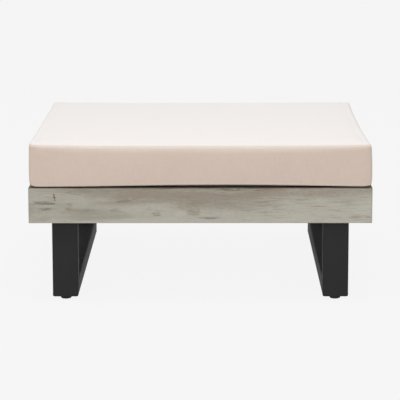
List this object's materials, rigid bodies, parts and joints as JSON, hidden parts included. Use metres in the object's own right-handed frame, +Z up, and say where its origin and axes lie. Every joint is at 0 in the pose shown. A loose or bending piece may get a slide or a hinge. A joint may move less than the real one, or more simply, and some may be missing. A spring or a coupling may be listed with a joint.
{
  "type": "outdoor ottoman footstool",
  "caption": "Square outdoor ottoman: loose box cushion on a mitred wooden seat frame with steel sled legs and levelling feet.",
  "frame": {"origin": "on the floor under the middle of the seat", "axes": "+X to the right across the seat, +Y from the front to the back with the zip, +Z up"},
  "size_m": [0.8, 0.8, 0.3683],
  "materials": {
    "weathered_wood": "grey weathered, matt",
    "black_steel": "fine-textured black powder coat",
    "zinc_steel": "zinc plated",
    "foot_plastic": "moulded, matt",
    "cushion_fabric": "plain woven polyester",
    "cushion_foam": "open-cell foam",
    "zip_tape": "woven tape with moulded teeth",
    "zip_metal": "satin nickel"
  },
  "bodies": {
    "frame": {"front_rail": "weathered_wood", "back_rail": "weathered_wood", "left_rail": "weathered_wood", "right_rail": "weathered_wood", "corner_block_front_left": "weathered_wood", "corner_block_front_right": "weathered_wood", "corner_block_back_left": "weathered_wood", "corner_block_back_right": "weathered_wood", "left_leg_bearer": "weathered_wood", "right_leg_bearer": "weathered_wood", "centre_bearer": "weathered_wood", "slat_1": "weathered_wood", "slat_2": "weathered_wood", "slat_3": "weathered_wood", "slat_4": "weathered_wood", "slat_5": "weathered_wood", "slat_6": "weathered_wood", "slat_7": "weathered_wood", "slat_8": "weathered_wood", "slat_9": "weathered_wood", "left_bottom_tube": "black_steel", "left_front_post": "black_steel", "left_back_post": "black_steel", "left_top_plate": "black_steel", "right_bottom_tube": "black_steel", "right_front_post": "black_steel", "right_back_post": "black_steel", "right_top_plate": "black_steel", "left_leg_bolt_1": "zinc_steel", "left_leg_bolt_2": "zinc_steel", "left_leg_bolt_3": "zinc_steel", "left_leg_bolt_4": "zinc_steel", "right_leg_bolt_1": "zinc_steel", "right_leg_bolt_2": "zinc_steel", "right_leg_bolt_3": "zinc_steel", "right_leg_bolt_4": "zinc_steel", "front_left_threaded_insert": "zinc_steel", "front_right_threaded_insert": "zinc_steel", "back_left_threaded_insert": "zinc_steel", "back_right_threaded_insert": "zinc_steel"},
    "front_left_pad": {"front_left_foot_pad": "foot_plastic"},
    "front_left_stem": {"front_left_foot_stem": "zinc_steel"},
    "front_right_pad": {"front_right_foot_pad": "foot_plastic"},
    "front_right_stem": {"front_right_foot_stem": "zinc_steel"},
    "back_left_pad": {"back_left_foot_pad": "foot_plastic"},
    "back_left_stem": {"back_left_foot_stem": "zinc_steel"},
    "back_right_pad": {"back_right_foot_pad": "foot_plastic"},
    "back_right_stem": {"back_right_foot_stem": "zinc_steel"},
    "cushion": {"cushion_cover": "cushion_fabric", "foam_core": "cushion_foam", "upper_zip_tape": "zip_tape", "lower_zip_tape": "zip_tape"},
    "zip_slider": {"zip_slider": "zip_metal"},
    "zip_pull": {"zip_pull": "zip_metal"}
  },
  "joints": [
    {"name": "front_left_foot_travel", "type": "slide", "parent": "frame", "child": "front_left_pad", "axis": [0, 0, -1], "range_m": [0, 0.01]},
    {"name": "front_left_stem_turn", "type": "hinge", "parent": "front_left_pad", "child": "front_left_stem", "pos_m": [-0.317, -0.365, 0.005], "axis": [0, 0, -1], "range_deg": [0, 2880]},
    {"name": "front_right_foot_travel", "type": "slide", "parent": "frame", "child": "front_right_pad", "axis": [0, 0, -1], "range_m": [0, 0.01]},
    {"name": "front_right_stem_turn", "type": "hinge", "parent": "front_right_pad", "child": "front_right_stem", "pos_m": [0.317, -0.365, 0.005], "axis": [0, 0, -1], "range_deg": [0, 2880]},
    {"name": "back_left_foot_travel", "type": "slide", "parent": "frame", "child": "back_left_pad", "axis": [0, 0, -1], "range_m": [0, 0.01]},
    {"name": "back_left_stem_turn", "type": "hinge", "parent": "back_left_pad", "child": "back_left_stem", "pos_m": [-0.317, 0.365, 0.005], "axis": [0, 0, -1], "range_deg": [0, 2880]},
    {"name": "back_right_foot_travel", "type": "slide", "parent": "frame", "child": "back_right_pad", "axis": [0, 0, -1], "range_m": [0, 0.01]},
    {"name": "back_right_stem_turn", "type": "hinge", "parent": "back_right_pad", "child": "back_right_stem", "pos_m": [0.317, 0.365, 0.005], "axis": [0, 0, -1], "range_deg": [0, 2880]},
    {"name": "cushion_lift", "type": "slide", "parent": "frame", "child": "cushion", "axis": [0, 0, 1], "range_m": [0, 0.3]},
    {"name": "zip_travel", "type": "slide", "parent": "cushion", "child": "zip_slider", "axis": [1, 0, 0], "range_m": [0, 0.49]},
    {"name": "zip_pull_swing", "type": "hinge", "parent": "zip_slider", "child": "zip_pull", "pos_m": [-0.245, 0.39715, 0.3158], "axis": [0, 0, 1], "range_deg": [0, 170]}
  ],
  "couplings": [
    {"joint": "front_left_stem_turn", "follows": "front_left_foot_travel", "rad_per_m": 5026.5},
    {"joint": "front_right_stem_turn", "follows": "front_right_foot_travel", "rad_per_m": 5026.5},
    {"joint": "back_left_stem_turn", "follows": "back_left_foot_travel", "rad_per_m": 5026.5},
    {"joint": "back_right_stem_turn", "follows": "back_right_foot_travel", "rad_per_m": 5026.5}
  ]
}
